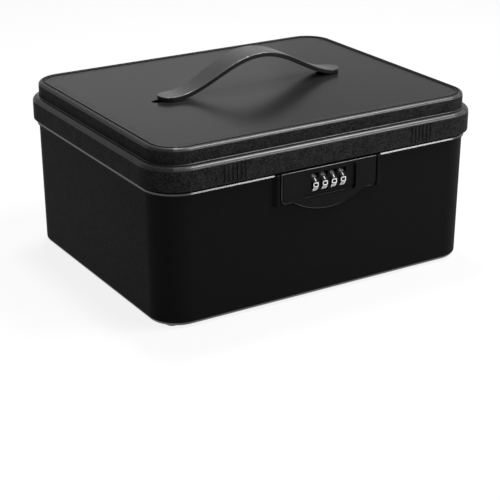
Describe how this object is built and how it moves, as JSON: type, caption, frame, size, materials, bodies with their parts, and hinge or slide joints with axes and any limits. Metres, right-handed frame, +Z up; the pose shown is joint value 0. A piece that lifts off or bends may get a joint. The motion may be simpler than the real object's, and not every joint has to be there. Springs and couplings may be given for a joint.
{
  "type": "medication lock box",
  "caption": "Black moulded lock box for medication, with a stepped hinged lid, a number-wheel lock in a sprung pull flap, a flexible arched carry strap and low feet.",
  "frame": {"origin": "on the table, under the middle of the closed box", "axes": "+X to the right along the front, +Y to the back, +Z up; the front with the lock faces -Y"},
  "size_m": [0.3, 0.243, 0.1722],
  "materials": {
    "body_plastic": "fine moulded texture, low sheen, black",
    "lid_plastic": "fine leather-like moulded grain on skirt, tier and border, smooth satin panel, black",
    "flap_plastic": "fine moulded grain, satin black",
    "wheel_plastic": "semi-gloss black with white digits",
    "strap_plastic": "soft flexible plastic, smooth satin, black",
    "foot_rubber": "dull black rubber",
    "zinc_steel": "zinc-plated steel",
    "spring_steel": "bare spring steel"
  },
  "bodies": {
    "base": {"base_tub": "body_plastic", "foot_front_left": "foot_rubber", "foot_front_right": "foot_rubber", "foot_rear_left": "foot_rubber", "foot_rear_right": "foot_rubber", "hinge_pin_left": "zinc_steel", "hinge_pin_right": "zinc_steel", "lock_frame": "zinc_steel", "lock_frame_screw_1": "zinc_steel", "lock_frame_screw_2": "zinc_steel", "detent_spring": "spring_steel", "latch_pivot_left": "zinc_steel", "latch_pivot_right": "zinc_steel", "latch_spring_left": "spring_steel", "latch_spring_right": "spring_steel", "reset_spring": "spring_steel", "lock_cover": "body_plastic", "lock_cover_screw_1": "zinc_steel", "lock_cover_screw_2": "zinc_steel"},
    "lid": {"lid_shell": "lid_plastic", "striker": "zinc_steel", "striker_screw_1": "zinc_steel", "striker_screw_2": "zinc_steel"},
    "latch": {"latch_flap": "flap_plastic", "locking_comb": "zinc_steel"},
    "reset": {"reset_slider": "flap_plastic", "wheel_shaft": "zinc_steel"},
    "strap": {"carry_strap": "strap_plastic"},
    "clip_left": {"strap_clip_left": "flap_plastic"},
    "clip_right": {"strap_clip_right": "flap_plastic"},
    "wheel_1": {"code_wheel_1": "wheel_plastic"},
    "wheel_2": {"code_wheel_2": "wheel_plastic"},
    "wheel_3": {"code_wheel_3": "wheel_plastic"},
    "wheel_4": {"code_wheel_4": "wheel_plastic"},
    "disc_1": {"code_disc_1": "zinc_steel"},
    "disc_2": {"code_disc_2": "zinc_steel"},
    "disc_3": {"code_disc_3": "zinc_steel"},
    "disc_4": {"code_disc_4": "zinc_steel"}
  },
  "joints": [
    {"name": "lid_hinge", "type": "hinge", "parent": "base", "child": "lid", "pos_m": [0, 0.1189, 0.1076], "axis": [-1, 0, 0], "range_deg": [0, 100]},
    {"name": "latch_pull", "type": "hinge", "parent": "base", "child": "latch", "pos_m": [0, -0.11, 0.104], "axis": [-1, 0, 0], "range_deg": [0, 7], "stiffness_Nm_per_rad": 0.5, "springref_deg": -5.73},
    {"name": "reset_push", "type": "slide", "parent": "base", "child": "reset", "axis": [1, 0, 0], "range_m": [0, 0.001], "stiffness_N_per_m": 300, "springref_m": -0.003},
    {"name": "strap_press", "type": "slide", "parent": "lid", "child": "strap", "axis": [0, 0, -1], "range_m": [0, 0.022], "stiffness_N_per_m": 400, "springref_m": -0.001, "deforming": ["carry_strap"]},
    {"name": "clip_left_slide", "type": "slide", "parent": "lid", "child": "clip_left", "axis": [-1, 0, 0], "range_m": [0, 0.0055]},
    {"name": "clip_right_slide", "type": "slide", "parent": "lid", "child": "clip_right", "axis": [1, 0, 0], "range_m": [0, 0.0055]},
    {"name": "wheel_1_spin", "type": "hinge", "parent": "base", "child": "wheel_1", "pos_m": [-0.01275, -0.11371, 0.0953], "axis": [1, 0, 0], "continuous": true},
    {"name": "disc_1_shift", "type": "slide", "parent": "wheel_1", "child": "disc_1", "axis": [1, 0, 0], "range_m": [0, 0.001]},
    {"name": "wheel_2_spin", "type": "hinge", "parent": "base", "child": "wheel_2", "pos_m": [-0.00425, -0.11371, 0.0953], "axis": [1, 0, 0], "continuous": true},
    {"name": "disc_2_shift", "type": "slide", "parent": "wheel_2", "child": "disc_2", "axis": [1, 0, 0], "range_m": [0, 0.001]},
    {"name": "wheel_3_spin", "type": "hinge", "parent": "base", "child": "wheel_3", "pos_m": [0.00425, -0.11371, 0.0953], "axis": [1, 0, 0], "continuous": true},
    {"name": "disc_3_shift", "type": "slide", "parent": "wheel_3", "child": "disc_3", "axis": [1, 0, 0], "range_m": [0, 0.001]},
    {"name": "wheel_4_spin", "type": "hinge", "parent": "base", "child": "wheel_4", "pos_m": [0.01275, -0.11371, 0.0953], "axis": [1, 0, 0], "continuous": true},
    {"name": "disc_4_shift", "type": "slide", "parent": "wheel_4", "child": "disc_4", "axis": [1, 0, 0], "range_m": [0, 0.001]}
  ],
  "couplings": [
    {"joint": "clip_left_slide", "follows": "strap_press", "ratio": 0.24},
    {"joint": "clip_right_slide", "follows": "strap_press", "ratio": 0.24},
    {"joint": "disc_1_shift", "follows": "reset_push", "ratio": 1},
    {"joint": "disc_2_shift", "follows": "reset_push", "ratio": 1},
    {"joint": "disc_3_shift", "follows": "reset_push", "ratio": 1},
    {"joint": "disc_4_shift", "follows": "reset_push", "ratio": 1}
  ]
}
